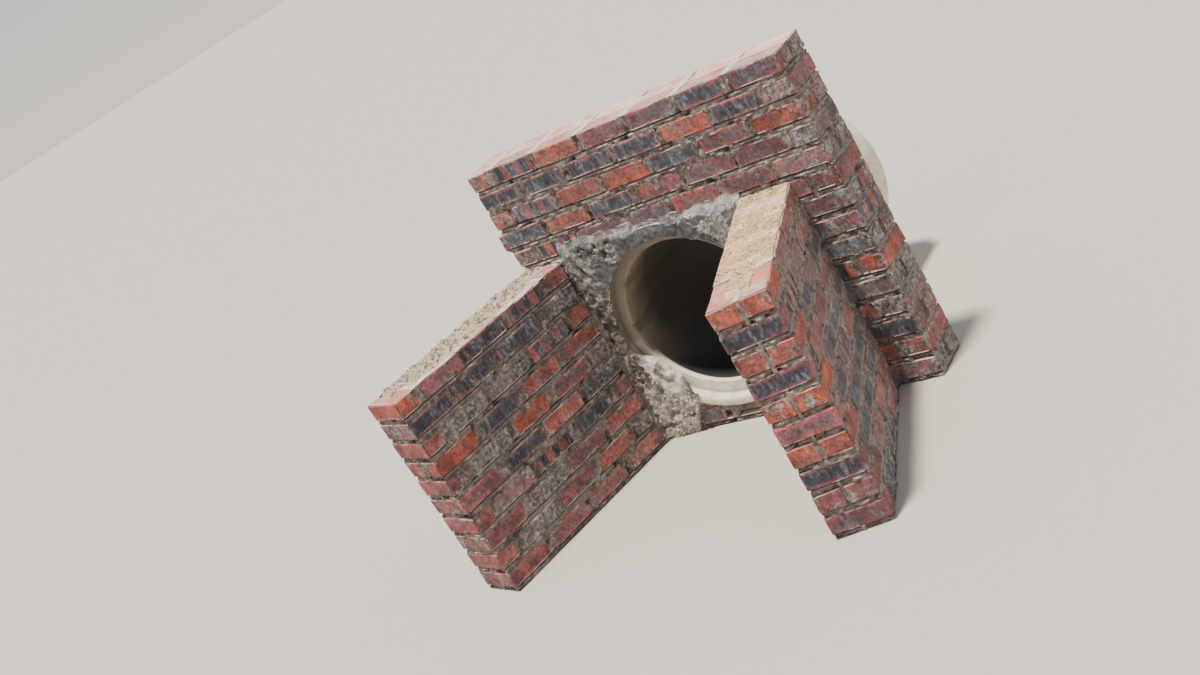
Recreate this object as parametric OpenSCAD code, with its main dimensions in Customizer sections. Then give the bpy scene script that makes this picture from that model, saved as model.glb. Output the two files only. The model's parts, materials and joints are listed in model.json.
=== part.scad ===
// Culvert headwall: a brick wall two leaves thick, built round the first pipe of a
// culvert, with two brick wing walls that splay forward from it.
// +X is to the right seen from the front, +Y runs through the wall along the pipe.
// The origin is under the pipe's axis, in the middle of the headwall's underside.

/* [Bricks and joints] */
// Length of a brick
brick_l = 225; // [200:1:240]
// Width of a brick, which is one leaf of a wall
brick_w = 107; // [90:1:115]
// Height of a brick
brick_h = 73; // [60:1:80]
// Thickness of the mortar bed under each course
bed_t = 22; // [10:1:30]
// Thickness of the mortar between the two leaves
collar_t = 11; // [6:1:20]
// Depth that the joints lie behind the faces of the bricks
joint_recess = 6; // [2:1:12]

/* [Headwall] */
// Number of courses in the headwall
head_courses = 15; // [14:1:20]
// Whole bricks in a course of the headwall, which also has one brick laid across it
head_bricks = 6; // [6:1:9]
// Width of the upright joints in the headwall
head_perpend = 22; // [10:1:32]
// How far the headwall runs on past the left wing wall
past_left = 10; // [0:1:200]

/* [Wing walls] */
// Number of courses in a wing wall
wing_courses = 10; // [4:1:10]
// Whole bricks along a wing wall
wing_bricks = 4; // [3:1:8]
// Width of the upright joints in a wing wall
wing_perpend = 30; // [10:1:34]
// Angle by which the left wing wall opens away from the pipe's axis
left_splay = 15.5; // [5:0.5:35]
// Angle by which the right wing wall opens
right_splay = 18.5; // [5:0.5:35]
// Clear width between the wing walls where they meet the headwall
channel_w = 912; // [800:1:1200]
// How far the middle of the channel lies to the right of the pipe's axis
channel_shift = 9; // [-40:1:40]
// Mortar between a wing wall and the headwall, measured along the channel's side
heel_gap = 40; // [10:1:90]
// Mortar between the headwall and the bricks that are cut to fit it
cut_joint = 10; // [5:1:25]
// Thickness of the mortar spread over the top of a wing wall
skim_t = 9; // [4:1:20]
// Length of wing wall left bare of that mortar at its outer end
skim_bare = 235; // [60:1:600]

/* [Pipe] */
// Bore of the pipe
bore_d = 690; // [600:1:720]
// Thickness of the pipe's wall
pipe_wall = 100; // [80:1:106]
// Overall length of the pipe
pipe_l = 1220; // [900:10:2440]
// How far the pipe's mouth stands out from the headwall's face
pipe_proud = 10; // [0:1:20]
// Depth of the rebate inside the pipe's mouth
rebate_l = 50; // [25:1:80]
// Thickness of the outer lip that the rebate leaves
lip_t = 44; // [30:1:60]
// Slack between a rebate and the spigot of the next pipe
joint_slack = 5; // [2:1:10]
// Chamfer on the pipe's outer edges
pipe_chamfer = 6; // [2:1:12]
// Height of the pipe's axis above the foot of the walls
pipe_z = 525; // [480:1:600]
// Space between the pipe and the brickwork packed round it
pipe_fit = 0.3; // [0.1:0.1:2]

/* [Mortar round the pipe] */
// How far the mortar stands out from the headwall's face
mortar_proud = 25; // [22:1:45]
// How far the mortar laps over the pipe's end, measured in from its outside
mortar_lap = 57; // [20:1:90]
// Thickness of the mortar left inside the bore's edge where it fills the rebate
fill_lip = 7; // [3:1:15]
// Angle above level at which the mortar over the crown gives way to the sides
crown_angle = 38; // [25:1:55]
// Angle below level at which the side mortar stops and the bare lip begins
foot_angle = 61; // [45:1:75]
// Angle below level at which mortar begins to fill the rebate
fill_angle = 14; // [5:1:35]

/* [Projecting brick] */
// How far the broken brick sticks out of the headwall's left end
bat_l = 46; // [20:1:100]
// Course that holds the broken brick
bat_course = 12; // [11:1:14]
// How far the broken brick is set back from the face
bat_setback = 18; // [5:1:60]

/* [Hidden] */
$fn = 120;
pitch = bed_t + brick_h;
wall_t = 2 * brick_w + collar_t;
face_y = -wall_t / 2;

head_l = head_bricks * (brick_l + head_perpend) + brick_w;
wing_l = wing_bricks * (brick_l + wing_perpend) - wing_perpend;
wing_h = wing_courses * pitch;

// Each wing wall starts from the corner that its inner face makes with the headwall,
// and is laid out on the right: the left one is mirrored.
function along(splay) = [sin(splay), -cos(splay)];
function across(splay) = [cos(splay), sin(splay)];
corner = [channel_w / 2, face_y];
function heel_in(splay) = corner + heel_gap * along(splay);
// Where the outer face of a wing wall reaches a given distance from the headwall's face.
function outer_at(splay, off) = corner + wall_t * across(splay)
    + (wall_t * sin(splay) + off) / cos(splay) * along(splay);
// Share of the square heel that stands clear of the cut, measured across the wall.
function clear_heel(splay) = min(wall_t, (heel_gap * cos(splay) - cut_joint) / sin(splay));
wing_end_x = channel_shift + outer_at(right_splay, 0)[0];
head_left = channel_shift - outer_at(left_splay, 0)[0] - past_left;
head_right = head_left + head_l;

bore_r = bore_d / 2;
pipe_r = bore_r + pipe_wall;
rebate_r = pipe_r - lip_t;
spigot_r = rebate_r - joint_slack;
spigot_l = rebate_l - joint_slack;
mouth_y = face_y - pipe_proud;
pipe_foot = pipe_z - pipe_r;

// The mortar fills the face from the ground to the first course that clears the pipe.
over_course = ceil((pipe_z + pipe_r - bed_t) / pitch) + 1;
mortar_top = (over_course - 1) * pitch + bed_t;
mortar_face = face_y - mortar_proud;
mortar_r = pipe_r - mortar_lap;
fill_r = bore_r + fill_lip;
reach = 2 * (head_l + head_courses * pitch);

brick_red = "#B4563F";
mortar_grey = "#8F8679";
concrete_grey = "#BDB59F";

function two(i) = i < 10 ? str("0", i) : str(i);
function head_name(i) = str("headwall_course_", two(i));
function left_name(i) = str("left_wing_course_", two(i));
function right_name(i) = str("right_wing_course_", two(i));

HEAD = [for (i = [1 : head_courses]) head_name(i)];
LEFT = [for (i = [1 : wing_courses]) left_name(i)];
RIGHT = [for (i = [1 : wing_courses]) right_name(i)];
OTHERS = [
    "left_heel_mortar", "right_heel_mortar", "left_top_mortar", "right_top_mortar",
    "pipe", "crown_mortar", "left_side_mortar", "right_side_mortar", "broken_brick"
];

// Brick lengths along a course: a brick laid across the wall shows its width.
function lay(first, whole, last) = concat(
    first ? [brick_w] : [],
    [for (i = [1 : whole]) brick_l],
    last ? [brick_w] : []
);
function total(v, n) = n == 0 ? 0 : v[n - 1] + total(v, n - 1);
// Where each brick starts, with the rest of the length shared among the joints.
function joint_w(bricks, l) = (l - total(bricks, len(bricks))) / (len(bricks) - 1);
function starts(bricks, l) = [
    for (i = [0 : len(bricks) - 1]) total(bricks, i) + i * joint_w(bricks, l)
];
function shows(x, spans) = len([for (s = spans) if (x > s[0] && x < s[1]) 1]) > 0;

// Joint raked out of the near face, or of the far face.
module raked(x0, x1, z0, z1, far) {
    translate([x0, far ? wall_t - joint_recess : -joint_recess, z0])
    cube([x1 - x0, 2 * joint_recess, z1 - z0]);
}

// One course on its bed, from x = 0 to l and y = 0 to wall_t.
// Joints are raked along the spans of each face that show.
module course(bricks, l, near_spans, far_spans) {
    at = starts(bricks, l);
    gap = joint_w(bricks, l);
    difference() {
        cube([l, wall_t, pitch]);
        for (far = [false, true], s = far ? far_spans : near_spans) {
            raked(s[0], s[1], -1, bed_t, far);
            for (i = [1 : len(bricks) - 1])
                if (shows(at[i] - gap / 2, [s]))
                    raked(at[i] - gap, at[i], bed_t - 1, pitch + 1, far);
        }
        for (end = [0, 1]) {
            translate([end * l - joint_recess, -1, -1])
            cube([2 * joint_recess, wall_t + 2, bed_t + 1]);
            if (bricks[end * (len(bricks) - 1)] == brick_l)
                translate([end * l - joint_recess, brick_w, bed_t - 1])
                cube([2 * joint_recess, collar_t, brick_h + 2]);
        }
    }
}

// Space taken up by the pipe, with room for it to be bedded.
module pipe_space() {
    translate([0, mouth_y - pipe_fit, pipe_z])
    rotate([-90, 0, 0])
    cylinder(h = pipe_l, r = pipe_r + pipe_fit);
}

// The headwall's bond breaks joint by a brick laid across alternate ends.
// Behind the mortar and the wing walls the face is left plain.
module headwall_course(i) {
    odd = i % 2 == 1;
    whole_face = [[-1, head_l + 1]];
    under_pipe = [-head_left - pipe_r / 2, -head_left + pipe_r / 2];
    past_wing = [wing_end_x - head_left, head_l + 1];
    low = (i - 1) * pitch < pipe_foot;
    near = i >= over_course ? whole_face : low ? [under_pipe, past_wing] : [past_wing];
    color(brick_red)
    difference() {
        translate([head_left, face_y, (i - 1) * pitch])
        course(lay(odd, head_bricks, !odd), head_l, near, whole_face);
        pipe_space();
    }
}

// Space in front of the line that bricks and mortar against the headwall are cut to.
module cut_to_headwall() {
    difference() {
        children();
        translate([0, face_y - cut_joint, -1])
        cube([reach, reach, reach]);
    }
}

// Frame of a wing wall: x along it from the heel, y across it from the channel's side.
module wing_frame(splay, z) {
    translate([heel_in(splay)[0], heel_in(splay)[1], z])
    rotate([0, 0, splay - 90])
    children();
}

module on_right() {
    translate([channel_shift, 0, 0])
    children();
}

module on_left() {
    translate([channel_shift, 0, 0])
    mirror([1, 0, 0])
    children();
}

// A wing wall's course is square at its outer end, and its heel is cut to the headwall.
module wing_course(i, splay, headers) {
    face = [[-1, wing_l + 1]];
    whole = headers ? wing_bricks - 1 : wing_bricks;
    color(brick_red)
    cut_to_headwall()
    wing_frame(splay, (i - 1) * pitch)
    course(lay(headers, whole, headers), wing_l, face, face);
}

module right_wing_course(i) {
    on_right()
    wing_course(i, right_splay, (wing_courses - i) % 2 == 1);
}

module left_wing_course(i) {
    on_left()
    wing_course(i, left_splay, (wing_courses - i) % 2 == 0);
}

// Mortar that fills the wedge between the heel of a wing wall and the headwall's face.
module heel_mortar(splay) {
    clear = clear_heel(splay);
    end = heel_in(splay) + clear * across(splay);
    color(mortar_grey)
    linear_extrude(wing_h)
    polygon(concat(
        [corner, heel_in(splay), end],
        clear < wall_t ? [outer_at(splay, cut_joint)] : [],
        [outer_at(splay, 0)]
    ));
}

module right_heel_mortar() {
    difference() {
        on_right() heel_mortar(right_splay);
        pipe_space();
    }
}

module left_heel_mortar() {
    difference() {
        on_left() heel_mortar(left_splay);
        pipe_space();
    }
}

// Mortar spread over the bricks of a wing wall, short of its outer end.
module top_mortar(splay) {
    edge = joint_recess;
    color(mortar_grey)
    cut_to_headwall()
    wing_frame(splay, wing_h)
    linear_extrude(skim_t)
    polygon([
        [edge, edge],
        [wing_l - skim_bare, edge],
        [wing_l - 1.25 * skim_bare, wall_t / 2],
        [wing_l - 0.9 * skim_bare, wall_t - edge],
        [edge, wall_t - edge]
    ]);
}

module right_top_mortar() {
    on_right()
    top_mortar(right_splay);
}

module left_top_mortar() {
    on_left()
    top_mortar(left_splay);
}

// Concrete pipe with a rebated mouth and, at the far end, the spigot that fits one.
module pipe() {
    color(concrete_grey)
    translate([0, mouth_y, pipe_z])
    rotate([-90, 0, 0])
    rotate_extrude()
    polygon([
        [bore_r, rebate_l],
        [rebate_r, rebate_l],
        [rebate_r, 0],
        [pipe_r - pipe_chamfer, 0],
        [pipe_r, pipe_chamfer],
        [pipe_r, pipe_l - spigot_l - pipe_chamfer],
        [pipe_r - pipe_chamfer, pipe_l - spigot_l],
        [spigot_r, pipe_l - spigot_l],
        [spigot_r, pipe_l],
        [bore_r, pipe_l]
    ]);
}

// Wedge seen from the front, between two angles about the pipe's axis.
module sector(from, to, r) {
    steps = 6;
    polygon(concat(
        [[0, 0]],
        [for (k = [0 : steps]) let (a = from + (to - from) * k / steps) r * [cos(a), sin(a)]]
    ));
}

// Plate of mortar on the headwall's face between the wing walls, cut to a sector.
module face_mortar(from, to) {
    left = channel_shift - channel_w / 2;
    right = channel_shift + channel_w / 2;
    difference() {
        intersection() {
            linear_extrude(mortar_top)
            polygon([
                [left, face_y],
                [right, face_y],
                [right + mortar_proud * tan(right_splay), mortar_face],
                [left - mortar_proud * tan(left_splay), mortar_face]
            ]);
            translate([0, 0, pipe_z])
            rotate([90, 0, 0])
            linear_extrude(reach, center = true)
            sector(from, to, reach);
        }
        pipe_space();
        translate([0, 0, pipe_z])
        rotate([90, 0, 0])
        cylinder(h = reach, r = mortar_r, center = true);
    }
}

// Mortar pushed into the rebate, nearly to the edge of the bore.
module rebate_mortar(from, to) {
    depth = mortar_proud - pipe_proud + rebate_l;
    translate([0, mortar_face, pipe_z])
    rotate([-90, 0, 0])
    intersection() {
        difference() {
            cylinder(h = depth - pipe_fit, r = rebate_r - pipe_fit);
            translate([0, 0, -1])
            cylinder(h = reach, r = fill_r);
        }
        linear_extrude(reach, center = true)
        mirror([0, 1, 0])
        sector(from, to, reach);
    }
}

module crown_mortar() {
    color(mortar_grey)
    face_mortar(crown_angle, 180 - crown_angle);
}

module left_side_mortar() {
    color(mortar_grey)
    union() {
        face_mortar(180 - crown_angle, 180 + foot_angle);
        rebate_mortar(180 + fill_angle, 180 + foot_angle);
    }
}

module right_side_mortar() {
    color(mortar_grey)
    union() {
        face_mortar(-foot_angle, crown_angle);
        rebate_mortar(-foot_angle, -fill_angle);
    }
}

// Broken brick that sticks out of the left end, with the mortar that hangs from it.
module broken_brick() {
    top = bat_course * pitch;
    color(brick_red)
    translate([head_left, face_y + bat_setback + brick_w, top])
    rotate([90, 0, 0])
    linear_extrude(brick_w)
    polygon([
        [0, 0],
        [-0.9 * bat_l, 0],
        [-bat_l, -brick_h / 3],
        [-0.7 * bat_l, -brick_h / 2],
        [-0.8 * bat_l, -brick_h],
        [-0.3 * bat_l, -brick_h - bed_t],
        [0, -brick_h - bed_t]
    ]);
}

for (i = [1 : head_courses])
    headwall_course(i);
for (i = [1 : wing_courses])
    left_wing_course(i);
for (i = [1 : wing_courses])
    right_wing_course(i);
left_heel_mortar();
right_heel_mortar();
left_top_mortar();
right_top_mortar();
pipe();
crown_mortar();
left_side_mortar();
right_side_mortar();
broken_brick();
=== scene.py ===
import json
import math
import random

import bmesh
import bpy
import numpy as np
from mathutils import Matrix, Vector

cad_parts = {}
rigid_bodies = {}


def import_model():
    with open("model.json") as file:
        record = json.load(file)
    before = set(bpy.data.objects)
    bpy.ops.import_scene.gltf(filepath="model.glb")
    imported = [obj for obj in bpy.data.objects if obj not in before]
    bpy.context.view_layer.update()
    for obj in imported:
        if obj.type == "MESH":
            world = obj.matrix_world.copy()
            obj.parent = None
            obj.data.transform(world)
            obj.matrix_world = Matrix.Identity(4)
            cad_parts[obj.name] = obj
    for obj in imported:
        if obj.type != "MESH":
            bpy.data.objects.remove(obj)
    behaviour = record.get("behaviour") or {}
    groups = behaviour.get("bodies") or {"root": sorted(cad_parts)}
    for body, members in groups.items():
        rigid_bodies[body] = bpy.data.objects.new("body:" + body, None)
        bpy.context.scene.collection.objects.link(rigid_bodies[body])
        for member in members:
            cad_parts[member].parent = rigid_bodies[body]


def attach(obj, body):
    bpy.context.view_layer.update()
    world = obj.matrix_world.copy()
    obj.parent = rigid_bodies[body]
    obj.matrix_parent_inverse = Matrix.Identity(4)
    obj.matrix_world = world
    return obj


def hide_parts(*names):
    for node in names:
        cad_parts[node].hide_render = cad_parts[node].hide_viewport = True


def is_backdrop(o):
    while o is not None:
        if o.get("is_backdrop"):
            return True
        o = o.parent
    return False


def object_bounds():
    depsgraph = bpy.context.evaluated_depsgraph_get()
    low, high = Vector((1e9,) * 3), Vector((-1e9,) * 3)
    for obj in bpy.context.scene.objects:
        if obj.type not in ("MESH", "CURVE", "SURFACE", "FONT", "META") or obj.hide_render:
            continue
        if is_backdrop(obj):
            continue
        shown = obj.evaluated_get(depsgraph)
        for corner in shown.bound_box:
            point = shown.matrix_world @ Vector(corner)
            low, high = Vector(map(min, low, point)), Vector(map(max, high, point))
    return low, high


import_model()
cad_low, cad_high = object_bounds()

# The photograph's camera, turned 29 degrees about its own axis, as the photograph is.
# It stands 6.5 m away, to the right of the channel and above the walls.
camera = bpy.data.objects.new("camera", bpy.data.cameras.new("camera"))
bpy.context.collection.objects.link(camera)
camera.data.sensor_width = 36.0
camera.data.lens = 45.15
look = Vector((-0.632249, 0.711748, -0.306065))
picture_up = Vector((0.215622, 0.541082, 0.812858))
turn = Matrix((look.cross(picture_up), picture_up, -look)).transposed()
stand = Vector((3.6021, -4.7444, 2.5475))
camera.matrix_world = Matrix.Translation(stand) @ turn.to_4x4()
camera.data.clip_end = 200.0
bpy.context.scene.camera = camera


# The stage: a plain pale floor, level with the foot of the walls, under one large high lamp
# in front and a little to the left, where the sun stood, and a pale studio all round.
def linear(colour):
    """An sRGB hex colour as the linear colour that a shader takes."""
    parts = [int(colour[k:k + 2], 16) / 255 for k in (1, 3, 5)]
    parts = [c / 12.92 if c <= 0.04045 else ((c + 0.055) / 1.055) ** 2.4 for c in parts]
    return (*parts, 1.0)


def put(tree, kind, sockets=(), out=0, **settings):
    """Adds a node, sets it up, feeds its sockets by number or name, and gives back an output, or itself."""
    node = tree.nodes.new(kind)
    for name, value in settings.items():
        setattr(node, name, value)
    for name, value in dict(sockets).items():
        if isinstance(value, bpy.types.NodeSocket):
            tree.links.new(value, node.inputs[name])
        else:
            node.inputs[name].default_value = value
    return node if out is None else node.outputs[out]


# What put is told for a Mix node of two colours.
COLOURS = {"out": 2, "data_type": "RGBA"}


def coat(tree, under, over, pattern, start, end, most=1.0, least=0.0):
    """Lays one colour over another, from least to most of it as a pattern goes from start to end."""
    share = put(tree, "ShaderNodeMapRange", {0: pattern, 1: start, 2: end, 3: least, 4: most})
    under, over = [linear(colour) if isinstance(colour, str) else colour for colour in (under, over)]
    return put(tree, "ShaderNodeMix", {0: share, 6: under, 7: over}, **COLOURS)


def new_object(name, data):
    made = bpy.data.objects.new(name, data)
    bpy.context.collection.objects.link(made)
    return made


def new_material(name, rough):
    """A material with only its shader, and its tree to add to."""
    made = bpy.data.materials.new(name)
    made.use_nodes = True
    shader = made.node_tree.nodes["Principled BSDF"]
    shader.inputs["Roughness"].default_value = rough
    return made, made.node_tree, shader


floor_mesh = bpy.data.meshes.new("floor")
floor_mesh.from_pydata([(-90, -90, 0), (90, -90, 0), (90, 90, 0), (-90, 90, 0)], [], [(0, 1, 2, 3)])
floor = new_object("floor", floor_mesh)
floor_paint, tree, shader = new_material("pale floor paint", 0.9)
shader.inputs["Base Color"].default_value = linear("#C3BBAF")
floor_mesh.materials.append(floor_paint)
floor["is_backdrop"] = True

world = bpy.data.worlds.new("studio")
world.use_nodes = True
# The studio is as bright as the floor low down all round, and cooler and dimmer overhead.
tree = world.node_tree
way = put(tree, "ShaderNodeTexCoord", out="Generated")
way = put(tree, "ShaderNodeSeparateXYZ", {0: way}, "Z")
colour = coat(tree, "#F0E9DF", "#DCE5F0", way, 0.0, 0.25)
glow = put(tree, "ShaderNodeMapRange", {0: way, 1: 0.0, 2: 0.15, 3: 1.15, 4: 0.78})
tree.links.new(colour, tree.nodes["Background"].inputs["Color"])
tree.links.new(glow, tree.nodes["Background"].inputs["Strength"])
bpy.context.scene.world = world

lamp = bpy.data.lights.new("high lamp", "SUN")
lamp.energy = 6.2
lamp.angle = 0.10
lamp.color = linear("#FFF9F0")[:3]
light = new_object("high lamp", lamp)
to_sun = Vector((-0.036, -0.172, 0.984))
light.rotation_euler = to_sun.to_track_quat("Z", "Y").to_euler()


# The bricks: common clay bricks, 225 x 107 x 73 mm, pressed in a mould and fired in a clamp.
# Where one brick stood on another the fire left a blue-black mark inside a red rim, or dark bars.
BRICK = (0.225, 0.107, 0.073)
BED = 0.022
COLLAR = 0.011
PITCH = BED + BRICK[2]
WALL = 2 * BRICK[1] + COLLAR


def upward_in(tree):
    """How far a face looks upwards, from -1 to 1."""
    normal = put(tree, "ShaderNodeNewGeometry", out="Normal")
    return put(tree, "ShaderNodeSeparateXYZ", {0: normal}, "Z")


def dress(tree, shader, colour, **relief):
    """Gives a shader its colour, and its relief as a bump."""
    tree.links.new(colour, shader.inputs["Base Color"])
    tree.links.new(put(tree, "ShaderNodeBump", relief), shader.inputs["Normal"])


clay, tree, shader = new_material("clamp fired clay, pressed", 0.88)
wall_place = put(tree, "ShaderNodeTexCoord", out="Object")
own, burnt, bright, veiled = [
    put(tree, "ShaderNodeAttribute", out="Fac", attribute_name=name)
    for name in ("own", "burnt", "bright", "veiled")
]
on_brick = put(tree, "ShaderNodeAttribute", out="Vector", attribute_name="on_brick")
# Each brick has its own part of every pattern. A pattern is given by the millimetres between its
# lumps. The grain of the pressed face, taken as 1 to 2 mm, is drawn coarser, so that it shows.
spot = put(tree, "ShaderNodeVectorMath", {0: own, 1: (7.3, 3.1, 5.7), 2: on_brick}, operation="MULTIPLY_ADD")
upright = put(tree, "ShaderNodeVectorMath", {0: spot, 1: (1.0, 1.0, 0.3)}, operation="MULTIPLY")
mottle, grain, ragged, streak, patch, trailed, flecks, drift = [
    put(tree, "ShaderNodeTexNoise", {
        "Vector": place, "Scale": round(1000 / apart), "Detail": folds, "Roughness": rough,
    })
    for place, apart, folds, rough in (
        (spot, 59, 4, 0.6), (spot, 6.67, 4, 0.7), (spot, 38.5, 5, 0.62), (upright, 18.2, 5, 0.65),
        (spot, 77, 5, 0.6), (wall_place, 59, 6, 0.66), (wall_place, 15.4, 5, 0.75), (wall_place, 111, 5, 0.6),
    )
]

# The clay: from dull crimson to red, and orange in bricks that lay where the fire was hottest.
red = put(tree, "ShaderNodeMix", {0: own, 6: linear("#5F343B"), 7: linear("#B96463")}, **COLOURS)
orange = put(tree, "ShaderNodeMix", {0: mottle, 6: linear("#A83E24"), 7: linear("#D2683E")}, **COLOURS)
colour = put(tree, "ShaderNodeMix", {0: bright, 6: red, 7: orange}, **COLOURS)
colour = coat(tree, colour, "#624244", mottle, 0.42, 0.66, 0.65)

# How far a point of the long face is inside its edge, made ragged.
away = put(tree, "ShaderNodeVectorMath", {0: on_brick}, operation="ABSOLUTE")
away = put(tree, "ShaderNodeVectorMath", {0: [size / 2 for size in BRICK], 1: away}, operation="SUBTRACT")
split = put(tree, "ShaderNodeSeparateXYZ", {0: away}, None).outputs
edge = put(tree, "ShaderNodeMath", {0: split[0], 1: split[2]}, operation="MINIMUM")
wobble = put(tree, "ShaderNodeMapRange", {0: ragged, 1: 0.25, 2: 0.75, 3: -0.012, 4: 0.012})
inside = put(tree, "ShaderNodeMath", {0: edge, 1: wobble}, operation="ADD")
long_face = put(tree, "ShaderNodeMapRange", {0: split[1], 1: 0.006, 2: 0.003})

# The mark of the fire: the harder the brick was burnt, the narrower the red rim round it.
# A brick laid on its neighbours crosswise took dark bars instead, 74 mm apart, given by a value
# below nothing.
rim = put(tree, "ShaderNodeMapRange", {0: burnt, 1: 0.3, 2: 1.0, 3: 0.020, 4: 0.006})
mark = put(tree, "ShaderNodeMath", {0: inside, 1: rim}, operation="SUBTRACT")
mark = put(tree, "ShaderNodeMapRange", {0: mark, 1: -0.004, 2: 0.008})
blots = put(tree, "ShaderNodeMath", {0: burnt, 1: 0.5, 2: patch}, operation="MULTIPLY_ADD")
blots = put(tree, "ShaderNodeMapRange", {0: blots, 1: 0.66, 2: 0.78})
strength = put(tree, "ShaderNodeMapRange", {0: burnt, 1: 0.15, 2: 0.80, 4: 0.95})
swing = put(tree, "ShaderNodeSeparateXYZ", {0: on_brick})
swing = put(tree, "ShaderNodeMath", {0: swing, 1: 85.0, 2: own}, operation="MULTIPLY_ADD")
swing = put(tree, "ShaderNodeMath", {0: swing}, operation="COSINE")
swing = put(tree, "ShaderNodeMath", {0: ragged, 1: 1.8, 2: swing}, operation="MULTIPLY_ADD")
bars = put(tree, "ShaderNodeMapRange", {0: swing, 1: 0.9, 2: 1.3})
barred = put(tree, "ShaderNodeMath", {0: burnt, 1: -0.2}, operation="LESS_THAN")
bars = put(tree, "ShaderNodeMath", {0: bars, 1: barred}, operation="MULTIPLY")
for part, how in ((blots, "MULTIPLY"), (strength, "MULTIPLY"), (bars, "MAXIMUM"), (long_face, "MULTIPLY")):
    mark = put(tree, "ShaderNodeMath", {0: mark, 1: part}, operation=how)
black = coat(tree, "#1E2432", "#7C808C", streak, 0.50, 0.68, 0.85)
soft = put(tree, "ShaderNodeMapRange", {0: burnt, 1: 0.75, 2: 0.45, 4: 0.75})
soft = put(tree, "ShaderNodeMath", {0: soft, 1: barred}, operation="SUBTRACT", use_clamp=True)
black = put(tree, "ShaderNodeMix", {0: soft, 6: black, 7: linear("#3F3C42")}, **COLOURS)
colour = put(tree, "ShaderNodeMix", {0: mark, 6: colour, 7: black}, **COLOURS)

# Mortar trailed over the brick by the trowel, most of all at its edges, and a thin grey wash of it.
wash = put(tree, "ShaderNodeMath", {0: veiled, 1: 0.55, 2: mottle}, operation="MULTIPLY_ADD")
colour = coat(tree, colour, "#787A80", wash, 0.40, 1.10, 0.62, 0.12)
near_edge = put(tree, "ShaderNodeMapRange", {0: edge, 1: 0.0, 2: 0.020, 3: 0.16, 4: 0.0})
smear = put(tree, "ShaderNodeMath", {0: trailed, 1: near_edge}, operation="ADD")
smear = put(tree, "ShaderNodeMath", {0: veiled, 1: 0.14, 2: smear}, operation="MULTIPLY_ADD")
smear = put(tree, "ShaderNodeMapRange", {0: smear, 1: 0.60, 2: 0.72, 4: 0.85})
cement = coat(tree, "#494747", "#969490", flecks, 0.38, 0.62)
colour = put(tree, "ShaderNodeMix", {0: smear, 6: colour, 7: cement}, **COLOURS)
colour = coat(tree, colour, "#35282B", grain, 0.47, 0.68, 0.28)
for by, least, most in ((flecks, 0.57, 1.47), (patch, 0.65, 1.39)):
    grey = put(tree, "ShaderNodeMapRange", {0: by, 1: 0.35, 2: 0.65, 3: least, 4: most})
    colour = put(tree, "ShaderNodeMix", {0: 1.0, 6: colour, 7: grey}, blend_type="MULTIPLY", **COLOURS)

# Pinkish dust and cement on what faces upwards.
upward = upward_in(tree)
powder = coat(tree, "#FDA592", "#FFF3EA", drift, 0.44, 0.68)
dusted = put(tree, "ShaderNodeMapRange", {0: upward, 1: 0.67, 2: 0.95})
for by, start, end, least, most in ((grain, 0.3, 0.8, 1.0, 0.65), (veiled, 0.08, 0.35, 0.4, 1.0)):
    share = put(tree, "ShaderNodeMapRange", {0: by, 1: start, 2: end, 3: least, 4: most})
    dusted = put(tree, "ShaderNodeMath", {0: dusted, 1: share}, operation="MULTIPLY")
colour = put(tree, "ShaderNodeMix", {0: dusted, 6: colour, 7: powder}, **COLOURS)

rise = put(tree, "ShaderNodeMath", {0: smear, 1: 0.8, 2: grain}, operation="MULTIPLY_ADD")
rise = put(tree, "ShaderNodeMath", {0: ragged, 1: 1.4, 2: rise}, operation="MULTIPLY_ADD")
dress(tree, shader, colour, Strength=0.9, Distance=0.003, Height=rise)


def keep_shape(shapes, name, shape):
    """Puts a finished shape among those that a tree deals out."""
    mesh = bpy.data.meshes.new(name)
    shape.to_mesh(mesh)
    shape.free()
    shapes.objects.link(bpy.data.objects.new(name, mesh))
    return mesh


# Six worn bricks, each with its edges rubbed and its corners knocked a little differently.
dice = random.Random(41)
worn_bricks = bpy.data.collections.new("worn bricks")
for number in range(6):
    shape = bmesh.new()
    bmesh.ops.create_cube(shape, size=1.0)
    bmesh.ops.scale(shape, vec=BRICK, verts=shape.verts)
    for cut in (-0.055, 0.0, 0.055):
        everything = shape.verts[:] + shape.edges[:] + shape.faces[:]
        bmesh.ops.bisect_plane(shape, geom=everything, plane_co=(cut, 0, 0), plane_no=(1, 0, 0))
    outer = [e for e in shape.edges if e.calc_face_angle() > 1.0]
    bmesh.ops.bevel(shape, geom=outer, offset=0.0045, segments=1, affect="EDGES", profile=0.5)
    for corner in shape.verts:
        at_end = abs(corner.co.x) > 0.1
        knock = 0.0026 if at_end else 0.0014
        corner.co += Vector([dice.uniform(-knock, knock) for _ in range(3)])
        if at_end and dice.random() < 0.1:
            corner.co.x *= 0.95
            corner.co.z *= 0.88
    mesh = keep_shape(worn_bricks, f"worn brick {number}", shape)
    places = [c for corner in mesh.vertices for c in corner.co]
    mesh.attributes.new("on_brick", "FLOAT_VECTOR", "POINT").data.foreach_set("vector", places)


def new_tree(name, inputs):
    """A Geometry Nodes tree, its named inputs' identifiers, and what they give inside it."""
    made = bpy.data.node_groups.new(name, "GeometryNodeTree")
    made.interface.new_socket("Geometry", in_out="INPUT", socket_type="NodeSocketGeometry")
    named = {
        label: made.interface.new_socket(label, in_out="INPUT", socket_type=kind).identifier
        for label, kind in inputs
    }
    made.interface.new_socket("Geometry", in_out="OUTPUT", socket_type="NodeSocketGeometry")
    return made, named, put(made, "NodeGroupInput", out=None).outputs


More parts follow.
